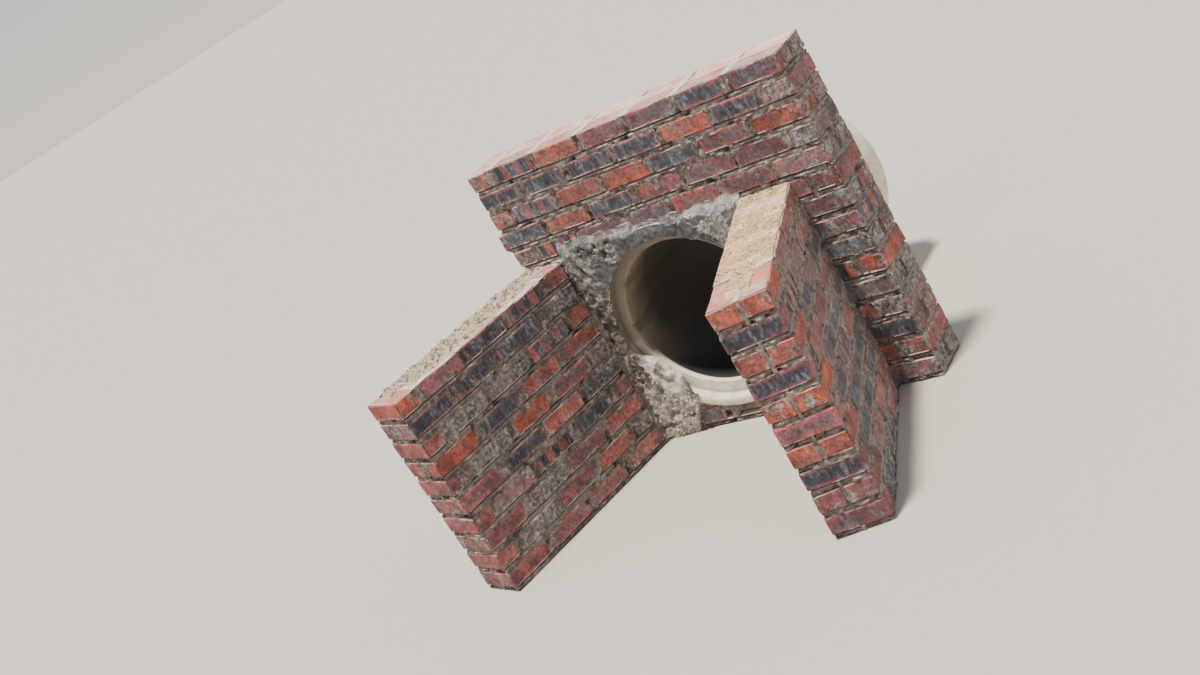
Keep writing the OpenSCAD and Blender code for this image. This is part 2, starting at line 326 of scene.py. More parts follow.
def deal_out(tree, shapes, seeds, label, span, material, **how):
    """Ends a tree with one of the shapes at each point, each with a chance value within a span."""
    shape = put(tree, "GeometryNodeCollectionInfo", {
        "Collection": shapes, "Separate Children": True, "Reset Children": True,
    })
    last = len(shapes.objects) - 1
    pick = put(tree, "FunctionNodeRandomValue", {4: 0, 5: last, "Seed": seeds[0]}, 2, data_type="INT")
    dealt = put(tree, "GeometryNodeInstanceOnPoints", {
        "Instance": shape, "Pick Instance": True, "Instance Index": pick, **how,
    })
    chance = put(tree, "FunctionNodeRandomValue", {2: span[0], 3: span[1], "Seed": seeds[1]}, 1)
    dealt = put(tree, "GeometryNodeStoreNamedAttribute", {"Geometry": dealt, "Name": label, "Value": chance},
                data_type="FLOAT", domain="INSTANCE")
    dealt = put(tree, "GeometryNodeRealizeInstances", {"Geometry": dealt})
    dealt = put(tree, "GeometryNodeSetMaterial", {"Geometry": dealt, "Material": material})
    put(tree, "NodeGroupOutput", {"Geometry": dealt}, None)


def grow(piece, tree, named, **values):
    """Runs a tree on a piece, with a value for each of its named inputs, and keeps the plain mesh."""
    modifier = piece.modifiers.new(tree.name, "NODES")
    modifier.node_group = tree
    for label, value in values.items():
        modifier[named[label]] = value
    depsgraph = bpy.context.evaluated_depsgraph_get()
    piece.data = bpy.data.meshes.new_from_object(piece.evaluated_get(depsgraph))
    piece.modifiers.clear()


# The bricklayer's hand: a brick at each point, cut to its size, and laid a little out of line.
laying, laying_inputs, given = new_tree("lay bricks", (
    ("Shift", "NodeSocketFloat"), ("Tilt", "NodeSocketFloat"), ("Seed", "NodeSocketInt"),
))
size = put(laying, "GeometryNodeInputNamedAttribute", {"Name": "size"}, data_type="FLOAT_VECTOR")
turned = put(laying, "GeometryNodeInputNamedAttribute", {"Name": "turn"}, data_type="FLOAT_VECTOR")
random_move, random_tilt = [
    put(laying, "FunctionNodeRandomValue", {
        0: put(laying, "ShaderNodeMath", {0: given[most], 1: -1.0}, operation="MULTIPLY"),
        1: given[most],
        "Seed": put(laying, "ShaderNodeMath", {0: given["Seed"], 1: more}, operation="ADD"),
    }, data_type="FLOAT_VECTOR")
    for most, more in (("Shift", 0.0), ("Tilt", 31.0))
]
points = put(laying, "GeometryNodeSetPosition", {"Geometry": given["Geometry"], "Offset": random_move})
points = put(laying, "GeometryNodeMeshToPoints", {"Mesh": points})
heading = put(laying, "ShaderNodeVectorMath", {0: turned, 1: random_tilt}, operation="ADD")
deal_out(laying, worn_bricks, (given["Seed"], given["Seed"]), "own", (0.0, 1.0), clay,
         Points=points, Rotation=heading, Scale=size)


def finish(piece, nodes=()):
    """Keeps a piece inside the solids' reach, attaches it to the root body, and hides the model's nodes it
    stands in for.
    """
    places = np.empty(len(piece.data.vertices) * 3, np.float32)
    piece.data.vertices.foreach_get("co", places)
    places = np.clip(places.reshape(-1, 3), cad_low, cad_high)
    piece.data.vertices.foreach_set("co", places.ravel())
    piece.data.update()
    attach(piece, "root")
    if nodes:
        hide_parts(*nodes)


def lay(wall, bricks, seed, courses):
    """Lays a wall's bricks as one piece. Each is (middle, heading, length, burnt, bright, veiled)."""
    middles, headings, lengths, *looks = zip(*bricks)
    plan = bpy.data.meshes.new(f"{wall}_bricks")
    plan.from_pydata(middles, [], [])
    for label, values in (
        ("size", [(length / BRICK[0], 1.0, 1.0) for length in lengths]),
        ("turn", [(0.0, 0.0, heading) for heading in headings]),
    ):
        plan.attributes.new(label, "FLOAT_VECTOR", "POINT").data.foreach_set("vector", np.ravel(values))
    for label, values in zip(("burnt", "bright", "veiled"), looks):
        plan.attributes.new(label, "FLOAT", "POINT").data.foreach_set("value", values)
    laid = new_object(f"{wall}_bricks", plan)
    grow(laid, laying, laying_inputs, Shift=0.0016, Tilt=0.009, Seed=seed)
    finish(laid, [f"{wall}_course_{i:02d}" for i in range(1, courses + 1)])


# The headwall: 15 courses, two leaves thick. A brick laid across alternate ends breaks the joint.
# Bricks that meet the pipe are cut short of it, and no sliver is laid. From course FIRST_SEEN up
# the front stands clear of the wing walls, and those of its bricks that stand out are listed.
HEAD_L = 1.589
HEAD_X = -0.6905
HEAD_COURSES = 15
FIRST_SEEN = 11
SLIVER = 0.03
CUT_GAP = 0.012
PIPE_R = 0.445
PIPE_Z = 0.525


def course_of(across_first, whole, across_last, length):
    """Where each brick starts and ends along a course, and whether it is laid across the wall."""
    bricks = [True] * across_first + [False] * whole + [True] * across_last
    lengths = [BRICK[1] if laid_across else BRICK[0] for laid_across in bricks]
    joint = (length - sum(lengths)) / (len(bricks) - 1)
    starts = [sum(lengths[:k]) + k * joint for k in range(len(bricks))]
    return [(s, s + l, laid_across) for s, l, laid_across in zip(starts, lengths, bricks)]


def head_course(i):
    return course_of(i % 2 == 1, 6, i % 2 == 0, HEAD_L)


def fire_of(course, number, looks, dice):
    """How burnt, bright and veiled a brick is, from the bricks that stand out in each course."""
    def is_one(kind):
        return number in looks.get(kind, {}).get(course, ())

    burnt, bright, veiled = dice.uniform(0.0, 0.45), dice.uniform(0.0, 0.35), dice.choice(looks["veils"])
    if is_one("black"):
        burnt, veiled = dice.uniform(0.82, 1.0), 0.5 * veiled
    elif is_one("dark"):
        burnt, veiled = dice.uniform(0.48, 0.66), 0.4 * veiled
    elif is_one("barred"):
        burnt, veiled = -1.0, 0.4 * veiled
    elif is_one("smeared"):
        burnt, veiled = 0.5, 1.3
    elif is_one("warm"):
        burnt, bright, veiled = 0.2, dice.uniform(0.45, 0.70), 0.3 * veiled
    elif is_one("orange"):
        bright, veiled = dice.uniform(0.8, 1.0), 0.0
    return burnt, bright, veiled


# Bricks of the front leaf that stand out, counted from the left.
head_looks = {
    "veils": (0.0, 0.1, 0.3, 0.5, 0.8),
    "black": {15: (5,), 14: (0, 1, 2, 3, 5), 13: (4,), 12: (0, 2)},
    "dark": {15: (3, 4, 6), 13: (5,), 12: (4, 5), 11: (2, 3, 4, 5)},
    "barred": {15: (1,), 13: (1,), 11: (1,)},
    "warm": {15: (0, 2), 13: (2, 6), 12: (1, 3), 11: (0,)},
    "orange": {14: (4,), 13: (0, 3)},
}
dice = random.Random(7)
bricks = []
for i in range(1, HEAD_COURSES + 1):
    z = (i - 1) * PITCH + BED + BRICK[2] / 2
    off = max(0.0, abs(z - PIPE_Z) - BRICK[2] / 2)
    half = math.sqrt(max(0.0, (PIPE_R + 0.001) ** 2 - off ** 2))
    half = half + CUT_GAP if half else 0.0
    for number, (start, end, laid_across) in enumerate(head_course(i)):
        start, end = start + HEAD_X, end + HEAD_X
        for leaf in (0,) if laid_across else (-1, 1):
            for x0, x1 in ((start, min(end, -half)), (max(start, half), end)) if half else ((start, end),):
                if x1 - x0 < SLIVER:
                    continue
                looks = fire_of(i, number, head_looks, dice)
                if leaf > 0 or i < FIRST_SEEN:
                    burnt, bright = dice.choice((-1.0, 0.0, 0.0, 0.5, 0.9)), dice.choice((0.1, 0.2, 0.9))
                    looks = (burnt, bright, dice.random())
                middle = ((x0 + x1) / 2, leaf * (WALL - BRICK[1]) / 2, z)
                heading, length = (math.pi / 2, BRICK[0]) if laid_across else (0.0, x1 - x0)
                bricks.append((middle, heading, length, *looks))
lay("headwall", bricks, 3, HEAD_COURSES)


# The wing walls: 10 courses each, laid square at the outer end and splayed from the headwall.
# At the heel the channel's leaf stops short of the headwall and the outer leaf is cut to fit.
WING_L = 0.990
WING_COURSES = 10
HEEL_GAP = 0.040
HEEL_JOINT = 0.010
CHANNEL = 0.912
SHIFT = 0.009
SPLAY = {"left": math.radians(15.5), "right": math.radians(18.5)}


def wing_course(side, i):
    across_ends = (WING_COURSES - i) % 2 == (0 if side == "left" else 1)
    return course_of(across_ends, 3 if across_ends else 4, across_ends, WING_L)


def wing_axes(side):
    """Where a wing wall's heel stands, and the ways along it and across it."""
    hand = 1 if side == "right" else -1
    along = np.array([hand * math.sin(SPLAY[side]), -math.cos(SPLAY[side])])
    across = np.array([hand * math.cos(SPLAY[side]), math.sin(SPLAY[side])])
    return np.array([SHIFT + hand * CHANNEL / 2, -WALL / 2]) + HEEL_GAP * along, along, across


def cut_back(side, across):
    """How far along a wing wall the brickwork starts, to be a joint clear of the headwall."""
    splay = SPLAY[side]
    clear = across * math.sin(splay) - HEEL_GAP * math.cos(splay) + HEEL_JOINT
    return np.maximum(0.0, clear / math.cos(splay))


# Bricks of the channel's leaf that stand out, counted from the heel.
wing_looks = {
    "left": {
        "veils": (0.1, 0.3, 0.6, 1.2),
        "black": {10: (2,), 9: (1, 2, 3), 7: (2,), 5: (0, 2), 4: (1,)},
        "dark": {6: (1,), 5: (3,), 3: (1, 3), 1: (1, 2)},
        "barred": {10: (1,), 8: (1,), 4: (2,)},
        "smeared": {9: (0,), 8: (2, 3), 6: (0, 3), 3: (2,), 2: (0, 3)},
        "warm": {10: (0, 4), 8: (0,), 7: (0, 1, 3), 5: (1,), 4: (0,), 2: (1,), 1: (0,)},
        "orange": {6: (2,)},
    },
    "right": {
        "veils": (0.0, 0.3, 0.8),
        "black": {9: (4,), 7: (4,), 3: (4,)},
        "dark": {5: (4,), 1: (4,)},
        "warm": {8: (3,), 4: (3,)},
        "orange": {10: (3,), 6: (3,)},
    },
}
for side, seed in (("left", 11), ("right", 23)):
    dice = random.Random(seed)
    heel, along, across = wing_axes(side)
    heading = math.atan2(along[1], along[0])
    bricks = []
    for i in range(1, WING_COURSES + 1):
        z = (i - 1) * PITCH + BED + BRICK[2] / 2
        for number, (start, end, laid_across) in enumerate(wing_course(side, i)):
            looks = fire_of(i, number, wing_looks[side], dice)
            at_end = end > WING_L - 0.01
            if at_end:
                looks = (looks[0], looks[1], 0.3 * looks[2] - 0.4)
            if laid_across and number:
                middle = (*(heel + (start + end) / 2 * along + WALL / 2 * across), z)
                bricks.append((middle, heading + math.pi / 2, BRICK[0], *looks))
                continue
            far = (dice.choice((-1.0, 0.0, 0.5, 0.9)), dice.choice((0.1, 0.2, 0.8)), dice.random())
            far = looks if at_end else far
            cut = max(start, cut_back(side, WALL) + 0.002)
            for first, off, fire in ((start, BRICK[1] / 2, looks), (cut, WALL - BRICK[1] / 2, far)):
                middle = (*(heel + (first + end) / 2 * along + off * across), z)
                bricks.append((middle, heading, end - first, *fire))
    lay(f"{side}_wing", bricks, seed, WING_COURSES)


# The mortar between the bricks: cement and unsieved sand, squeezed out as the bricks were pressed
# down and left as it came, so it stands proud in places and is full of holes in others.
mortar, tree, shader = new_material("cement mortar, rough from the trowel", 0.95)
wall_place = put(tree, "ShaderNodeTexCoord", out="Object")
relief, smoothed, cool = [
    put(tree, "ShaderNodeAttribute", out="Fac", attribute_name=name)
    for name in ("relief", "smoothed", "cool")
]
# Its sand, taken as 1 to 2 mm, is drawn coarser, so that it shows.
batch, sand, clots = [
    put(tree, "ShaderNodeTexNoise", {
        "Vector": wall_place, "Scale": round(1000 / apart), "Detail": folds, "Roughness": rough,
    })
    for apart, folds, rough in ((143, 5, 0.6), (5.26, 5, 0.75), (26.3, 6, 0.7))
]
colour = coat(tree, "#6A6059", "#9E9187", batch, 0.4, 0.6)
colour = coat(tree, colour, "#BDB2A8", clots, 0.5, 0.66, 0.7)
colour = coat(tree, colour, "#403935", sand, 0.45, 0.66, 0.7)
# Rubbed by the trowel it is dark and even, deep in a hollow painted nearly black as shade, and slurry on it
# is pale.
polished = coat(tree, "#393A3E", "#606266", clots, 0.38, 0.62)
colour = coat(tree, colour, polished, smoothed, 0.3, 0.8, 0.88)
# Painted shade: the deeper a hollow, such as the gap under a brick or a crack, the nearer black it is
# painted.
colour = coat(tree, colour, "#26221E", relief, -0.005, -0.014, 0.8)
colour = coat(tree, colour, "#EAE1D3", smoothed, -0.3, -0.8, 0.9)
grey = put(tree, "ShaderNodeMapRange", {0: clots, 1: 0.34, 2: 0.66, 3: 0.70, 4: 1.35})
share = put(tree, "ShaderNodeMapRange", {0: smoothed, 1: 0.3, 2: 0.8, 3: 1.0, 4: 0.3})
colour = put(tree, "ShaderNodeMix", {0: share, 6: colour, 7: grey}, blend_type="MULTIPLY", **COLOURS)
upward = upward_in(tree)
colour = coat(tree, colour, "#DCC6BA", upward, 0.72, 0.97, 0.9)
grey = put(tree, "ShaderNodeMath", {0: cool, 1: -0.55, 2: 1.0}, operation="MULTIPLY_ADD")
colour = put(tree, "ShaderNodeHueSaturation", {"Saturation": grey, "Color": colour})
rise = put(tree, "ShaderNodeMath", {0: clots, 1: 1.5, 2: sand}, operation="MULTIPLY_ADD")
flat = put(tree, "ShaderNodeMath", {0: smoothed}, operation="ABSOLUTE")
flat = put(tree, "ShaderNodeMath", {0: flat, 1: upward}, operation="MAXIMUM")
rough = put(tree, "ShaderNodeMapRange", {0: flat, 1: 0.0, 2: 1.0, 3: 1.0, 4: 0.3})
dress(tree, shader, colour, Strength=rough, Distance=0.009, Height=rise)


def lumps(points, size, seed):
    """Smooth lumps about so many metres apart, from -1 to 1, at an array of points."""
    cell = np.floor(points / size).astype(np.int64)
    part = points / size - cell
    part = part * part * (3 - 2 * part)
    total = np.zeros(len(points))
    for corner in range(8):
        step = np.array([corner & 1, corner >> 1 & 1, corner >> 2 & 1])
        mixed = (cell + step) @ np.array([73856093, 19349663, 83492791]) + seed * 2654435761
        mixed = (mixed ^ (mixed >> 13)) * 1274126177
        mixed = (mixed ^ (mixed >> 16)) & 0xFFFFFF
        total += np.prod(np.where(step == 1, part, 1 - part), axis=1) * (mixed / 0x7FFFFF - 1)
    return total


def new_mesh(name, points, faces, material, **values):
    """A mesh with its faces outwards, and a value at each point for each name given."""
    mesh = bpy.data.meshes.new(name)
    mesh.from_pydata(points.tolist(), [], faces)
    for label, value in values.items():
        mesh.attributes.new(label, "FLOAT", "POINT").data.foreach_set("value", value)
    shape = bmesh.new()
    shape.from_mesh(mesh)
    bmesh.ops.recalc_face_normals(shape, faces=shape.faces)
    shape.to_mesh(mesh)
    shape.free()
    mesh.materials.append(material)
    return new_object(name, mesh)


def net(grid):
    """The faces between the rows and columns of a grid of point numbers."""
    return np.stack([grid[:-1, :-1], grid[1:, :-1], grid[1:, 1:], grid[:-1, 1:]], -1)


def rough_block(name, foot, height, lines, push, hole=None):
    """A closed block of mortar over a foot of four corners, anticlockwise from above.
    lines gives its lines of points along, across and up, from 0 to 1, push how far the surface
    at the points of one side stands out, and hole which points of front and back lie in a hole."""
    a, b, c = np.meshgrid(*lines, indexing="ij")
    at = sum(
        share[..., None] * np.array([*corner, 0.0])
        for share, corner in zip(((1 - a) * (1 - b), a * (1 - b), a * b, (1 - a) * b), foot)
    ) + c[..., None] * np.array([0.0, 0.0, height])
    moved = at.copy()
    # relief keeps how far each point stands out; the mortar's material paints its hollows dark as shade from
    # it.
    relief = np.zeros(a.shape)
    index = np.arange(a.size).reshape(a.shape)
    faces = []
    for side, axis, end in (("left", 0, 0), ("right", 0, -1), ("front", 1, 0), ("back", 1, -1),
                            ("below", 2, 0), ("above", 2, -1)):
        cut = tuple(end if k == axis else slice(None) for k in range(3))
        points = at[cut].reshape(-1, 3)
        k = {"front": 0, "right": 1, "back": 2, "left": 3}.get(side)
        if k is None:
            outward = np.array([0.0, 0.0, -1.0 if side == "below" else 1.0])
        else:
            run = np.subtract(foot[(k + 1) % 4], foot[k])
            outward = np.array([run[1], -run[0], 0.0]) / np.hypot(*run)
        out = push(side, points)
        moved[cut] += (out[:, None] * outward).reshape(at[cut].shape)
        relief[cut] = out.reshape(relief[cut].shape)
        quads = net(index[cut])
        if hole and axis == 1:
            gone = hole((at[cut][:-1, :-1] + at[cut][1:, 1:]) / 2)
            quads = quads[~gone]
        faces.append(quads.reshape(-1, 4))
    if hole:
        front, back = index[:, 0, :], index[:, -1, :]
        near = (
            ((-1, 0), (0, 0), (0, 1)), ((1, 0), (1, 1), (1, 0)),
            ((0, -1), (1, 0), (0, 0)), ((0, 1), (0, 1), (1, 1)),
        )
        for i, k in zip(*np.nonzero(gone)):
            for (di, dk), one, two in near:
                if not gone[i + di, k + dk]:
                    one, two = (i + one[0], k + one[1]), (i + two[0], k + two[1])
                    faces.append(np.array([[front[one], front[two], back[two], back[one]]]))
    quads = np.concatenate(faces)
    used, quads = np.unique(quads, return_inverse=True)
    quads = quads.reshape(-1, 4).tolist()
    return new_mesh(name, moved.reshape(-1, 3)[used], quads, mortar, relief=relief.ravel()[used])


def under_brick(along, z, courses):
    """How far a point of a wall's face is inside the brick that covers it, and above its bed."""
    number = np.clip(np.floor(z / PITCH).astype(int), 0, len(courses) - 1)
    up = z - number * PITCH - BED
    inside = np.full(len(z), -1.0)
    for i, course in enumerate(courses):
        here = number == i
        for start, end in course:
            inside[here] = np.maximum(inside[here], np.minimum(along[here] - start, end - along[here]))
    above = np.where(number == len(courses) - 1, 1.0, BRICK[2] - up)
    return np.minimum(inside, np.minimum(up, above)), up


def joint_relief(points, along, z, courses, seed, lap=0.006):
    """Mortar squeezed from a joint: about flush, in lumps, hollow under the brick above it."""
    inside, up = under_brick(along, z, courses)
    out = -0.0026 + 0.0042 * lumps(points, 0.026, seed) + 0.0030 * lumps(points, 0.011, seed + 1)
    holes = lumps(points, 0.035, seed + 2)
    out = np.where(holes > 0.45, out - 0.014 * (holes - 0.45) / 0.55, out)
    parted = (up < 0) & (up > -0.010) & (lumps(points, 0.060, seed + 4) > -0.4)
    out = np.where(parted, out - 0.009, out)
    reach = lap + 0.007 * lumps(points, 0.030, seed + 3) + 0.004 * lumps(points, 0.012, seed + 5)
    out = np.where(inside > 0, np.clip(out, 0.0004, 0.0014), np.minimum(out, 0.0045))
    return np.where(inside > reach, -0.016, out)


def top_relief(points, along, across, row, courses, lap):
    """The top of a wall: joints full to the brim, those between its two leaves too."""
    out = joint_relief(points, along, np.full(len(points), courses * PITCH - 0.03), [row] * courses, 7, lap)
    two_leaves = np.any([(along > s) & (along < e) for s, e in row if e - s > 0.15], axis=0)
    between = two_leaves & (np.abs(across - WALL / 2) < 0.013 + 0.004 * lumps(points, 0.02, 11))
    return np.where((out > -0.015) | between, np.maximum(0.1 * out, -0.0004), out)


def wall_lines(length, courses):
    """Lines of points: even along the wall, closer together in the bed joints."""
    steps = np.array([0.0, 0.0055, 0.011, 0.0155, 0.020, 0.026, 0.036, 0.054, 0.072, 0.086])
    up = np.append((np.arange(courses)[:, None] * PITCH + steps).ravel(), courses * PITCH)
    collar = BRICK[1] + np.array([-0.004, 0.0, 0.003, 0.0055, 0.008, 0.011, 0.015])
    across = np.sort(np.append(np.linspace(0, WALL, 20), collar)) / WALL
    return np.linspace(0, 1, round(length / 0.0082) + 1), across, up / (courses * PITCH)


ENDS = ([(0, BRICK[1]), (BRICK[1] + COLLAR, WALL)], [(0, WALL)])
head_rows = [[(s, e) for s, e, _ in head_course(i)] for i in range(1, HEAD_COURSES + 1)]
head_ends = {
    "left": [ENDS[i % 2] for i in range(1, HEAD_COURSES + 1)],
    "right": [ENDS[1 - i % 2] for i in range(1, HEAD_COURSES + 1)],
}


def head_push(side, points):
    along, across, z = points[:, 0] - HEAD_X, points[:, 1] + WALL / 2, points[:, 2]
    if side in ("front", "back"):
        out = joint_relief(points, along, z, head_rows, 5)
        cut_short = (np.hypot(points[:, 0], z - PIPE_Z) < PIPE_R + 0.035) & (out < -0.010)
        return np.where(cut_short, -0.004 + 0.003 * lumps(points, 0.02, 4), out)
    if side in ("left", "right"):
        return joint_relief(points, across, z, head_ends[side], 6)
    return top_relief(points, along, across, head_rows[-1], HEAD_COURSES, 0.014)


x0, x1, y0, y1 = HEAD_X, HEAD_X + HEAD_L, -WALL / 2, WALL / 2
finish(rough_block(
    "headwall_mortar", [(x0, y0), (x1, y0), (x1, y1), (x0, y1)], HEAD_COURSES * PITCH,
    wall_lines(HEAD_L, HEAD_COURSES), head_push,
    lambda at: np.hypot(at[..., 0], at[..., 2] - PIPE_Z) < PIPE_R - 0.021,
))


# The wing walls' mortar: the same cement and sand, squeezed out between their courses as the bricks
# were pressed down. It stops with them at the heel, where the outer leaf is cut to the headwall.
def plan(side, *pairs):
    """A foot given along and across a wing wall, anticlockwise from above."""
    heel, along, across = wing_axes(side)
    made = [heel + a * along + c * across for a, c in pairs]
    return made if side == "right" else [made[1], made[0], made[3], made[2]]


for side in ("left", "right"):
    heel, along, across = wing_axes(side)
    rows = [[(s, e) for s, e, _ in wing_course(side, i)] for i in range(1, WING_COURSES + 1)]
    ends = [ENDS[wing_course(side, i)[0][2]] for i in range(1, WING_COURSES + 1)]

    def wing_push(face, points):
        flat = points[:, :2] - heel
        a, c, z = flat @ along, flat @ across, points[:, 2]
        if face in ("front", "back"):
            return joint_relief(points, a, z, rows, 8, 0.010)
        if face == side:
            out = joint_relief(points, c, z, ends, 9)
            full = np.abs(c - WALL / 2) < 0.009
            return np.where(out > -0.015, np.where(full, np.maximum(out, -0.001), 1.8 * out - 0.001), out)
        if face in ("left", "right"):
            return 0 * z
        return top_relief(points, a, c, rows[-1], WING_COURSES, 0.010)

    foot = plan(side, (0, 0), (WING_L, 0), (WING_L, WALL), (cut_back(side, WALL), WALL))
    lines = wall_lines(WING_L, WING_COURSES)
    finish(rough_block(f"{side}_wing_mortar", foot, WING_COURSES * PITCH, lines, wing_push))


# The wedge of mortar at the heel of each wing wall, between it and the headwall's face.
# High up, the left one has cracked away from its wing wall as that settled.
def ease(value, low, high):
    share = np.clip((value - low) / (high - low), 0, 1)
    return share * share * (3 - 2 * share)


for side in ("left", "right"):
    heel, along, _ = wing_axes(side)

    def heel_push(face, points):
        a = (points[:, :2] - heel) @ along
        upright = points * (0, 0, 1)
        out = 0.004 * lumps(points, 0.030, 12) + 0.003 * lumps(points, 0.010, 13) - 0.001
        out = np.where(lumps(points, 0.022, 14) > 0.55, out - 0.005, out)
        jag = -0.008 + 0.008 * lumps(upright, 0.045, 15) + 0.003 * lumps(upright, 0.012, 16)
        if side == "left":
            out = np.where(np.abs(a - jag) < 0.0035 * ease(points[:, 2], 0.68, 0.80), -0.030, out)
        return np.minimum(out, 0.003) if face in ("front", "back", "above") else 0 * a

    foot = plan(side, (-HEEL_GAP, 0), (0, 0), (cut_back(side, WALL), WALL),
                (WALL * math.tan(SPLAY[side]) - HEEL_GAP, WALL))
    lines = (np.linspace(0, 1, 22), np.linspace(0, 1, 24), np.linspace(0, 1, 150))
    wedge = rough_block(f"{side}_heel_wedge", foot, WING_COURSES * PITCH, lines, heel_push)
    finish(wedge, [f"{side}_heel_mortar"])


# The layer on the wing walls' tops: left-over mortar spread thin with the trowel, short of the outer
# end, with dust and the crumbs that broke from it lying loose on top.
def spread(side):
    """A thin uneven layer: a fine grid over the wing's top, sunk below the bricks where it is bare."""
    heel, along, across = wing_axes(side)
    a, c = np.meshgrid(
        np.linspace(0.002, WING_L - 0.02, 170), np.linspace(0.004, WALL - 0.004, 44), indexing="ij",
    )
    start = cut_back(side, c)
    a = start + a * (1 - start / WING_L)
    top = WING_COURSES * PITCH
    points = np.dstack([heel + a[..., None] * along + c[..., None] * across, np.full(a.shape, top)])
    shape = a.shape
    points, a, c = points.reshape(-1, 3), a.ravel(), c.ravel()
    wander = 0.034 * lumps(points, 0.09, 20) + 0.016 * lumps(points, 0.03, 21)
    if side == "left":
        bare = WING_L - 0.06 - np.where(c < 0.11, 0.07, 0.0) - a
        cover = np.minimum(c - 0.034 + 0.45 * wander, bare + wander)
        cover = np.minimum(cover, np.hypot(a - 0.06, (c - 0.03) * 0.8) - 0.075 + 0.5 * wander)
    else:
        middle = np.abs(c - WALL / 2) < 0.045
        bare = WING_L - 0.235 + np.where(middle, 0.17, 0.0) - a
        cover = np.minimum(np.minimum(c, WALL - c) + 0.016 + 0.5 * wander, bare + 0.8 * wander)
    cover = np.clip(cover / 0.02, -1.0, 1.0)
    rough = 0.0055 * lumps(points, 0.030, 22) + 0.0040 * lumps(points, 0.012, 23)
    rough = rough if side == "left" else 0.35 * rough
    loose = (cover > 0.5).astype(float)
    points[:, 2] += np.clip(0.0050 * cover + rough * np.clip(cover + 0.2, 0, 1), -0.004, 0.0120)
    below = points.copy()
    below[:, 2] = top - 0.008
    index = np.arange(len(points)).reshape(shape)
    quads = net(index).reshape(-1, 4)
    ring = np.concatenate([index[:-1, 0], index[-1, :-1], index[:0:-1, -1], index[0, :0:-1]])
    after = np.roll(ring, -1)
    skirt = np.stack([ring, ring + len(points), after + len(points), after], -1)
    quads = np.concatenate([quads, quads + len(points), skirt])
    loose = np.append(loose, 0 * loose)
    points = np.concatenate([points, below])
    return new_mesh(f"{side}_top_spread", points, quads.tolist(), dust, loose=loose)


# Dry cement and brick dust, rubbed off and never set: quite matt, buff and pale in drifts, with
# dark grit, and greyer on the left wall. The grit, taken as 2 to 3 mm, is drawn coarser.
dust, tree, shader = new_material("mortar and clay dust", 0.97)
wall_place = put(tree, "ShaderNodeTexCoord", out="Object")
drift, grit = [
    put(tree, "ShaderNodeTexNoise", {
        "Vector": wall_place, "Scale": round(1000 / apart), "Detail": folds, "Roughness": rough,
    })
    for apart, folds, rough in ((91, 5, 0.6), (14.3, 6, 0.75))
]
to_right = put(tree, "ShaderNodeSeparateXYZ", {0: wall_place}, "X")
colour = coat(tree, "#EDBB82", "#CFB18A", drift, 0.38, 0.62)
colour = coat(tree, colour, "#5E4B3B", grit, 0.46, 0.62, 0.85)
colour = coat(tree, colour, "#FBEBD2", drift, 0.50, 0.36, 0.5)
colour = coat(tree, colour, "#B3A899", to_right, 0.1, -0.1, 0.6)
# Each crumb is darker or paler than the layer it lies on.
tint = put(tree, "ShaderNodeAttribute", out="Fac", attribute_name="tint")
tint = put(tree, "ShaderNodeMath", {0: tint, 1: 1.0}, operation="ADD")
colour = put(tree, "ShaderNodeMix", {0: 1.0, 6: colour, 7: tint}, blend_type="MULTIPLY", **COLOURS)
dress(tree, shader, colour, Strength=1.0, Distance=0.006, Height=grit)

dice = random.Random(5)
crumbs = bpy.data.collections.new("crumbs")
for number in range(4):
    shape = bmesh.new()
    bmesh.ops.create_icosphere(shape, subdivisions=1, radius=0.5)
    for corner in shape.verts:
        corner.co *= dice.uniform(0.6, 1.15)
        corner.co.z *= 0.75
    keep_shape(crumbs, f"crumb {number}", shape)

scattering, scattering_inputs, given = new_tree("scatter crumbs", (
    ("Density", "NodeSocketFloat"), ("Smallest", "NodeSocketFloat"), ("Material", "NodeSocketMaterial"),
))
loose = put(scattering, "GeometryNodeInputNamedAttribute", {"Name": "loose"}, data_type="FLOAT")
covered = put(scattering, "ShaderNodeMath", {0: loose, 1: 0.5}, operation="GREATER_THAN")
points = put(scattering, "GeometryNodeDistributePointsOnFaces", {
    "Mesh": given["Geometry"], "Selection": covered, "Density": given["Density"], "Seed": 4,
})
rolled = put(scattering, "FunctionNodeRandomValue", {1: (6.3, 6.3, 6.3), "Seed": 1}, data_type="FLOAT_VECTOR")
large = put(scattering, "FunctionNodeRandomValue", {"Seed": 2}, 1, data_type="FLOAT")
large = put(scattering, "ShaderNodeMath", {0: large, 1: 7.0}, operation="POWER")
large = put(scattering, "ShaderNodeMath", {0: large, 1: 3.5, 2: 1.0}, operation="MULTIPLY_ADD")
large = put(scattering, "ShaderNodeMath", {0: large, 1: given["Smallest"]}, operation="MULTIPLY")
deal_out(scattering, crumbs, (3, 6), "tint", (-0.7, 0.35), given["Material"],
         Points=points, Rotation=rolled, Scale=large)


def scatter(name, layer, density, smallest, material):
    """Crumbs lying on a layer where it is loose, so many to the square metre, and so large at least."""
    strewn = new_object(name, layer.data.copy())
    grow(strewn, scattering, scattering_inputs, Density=density, Smallest=smallest, Material=material)
    return strewn


for side, density, smallest in (("left", 9000.0, 0.006), ("right", 3200.0, 0.0035)):
    layer = spread(side)
    strewn = scatter(f"{side}_crumbs", layer, density, smallest, dust)
    finish(layer, [f"{side}_top_mortar"])
    finish(strewn)


# The pipe: precast concrete, spun in a steel mould, so it is smooth and true, with a rebated mouth.
# Pale dust lies low on its lip; above the mouth and inside, stain, silt and damp darken it, with painted
# shade.
MOUTH_Y = -0.1225
PIPE_L = 1.22
BORE_R = 0.345
REBATE_R = 0.401
SPIGOT_R = 0.396
SHOULDER = 1.175
TURNS = 144

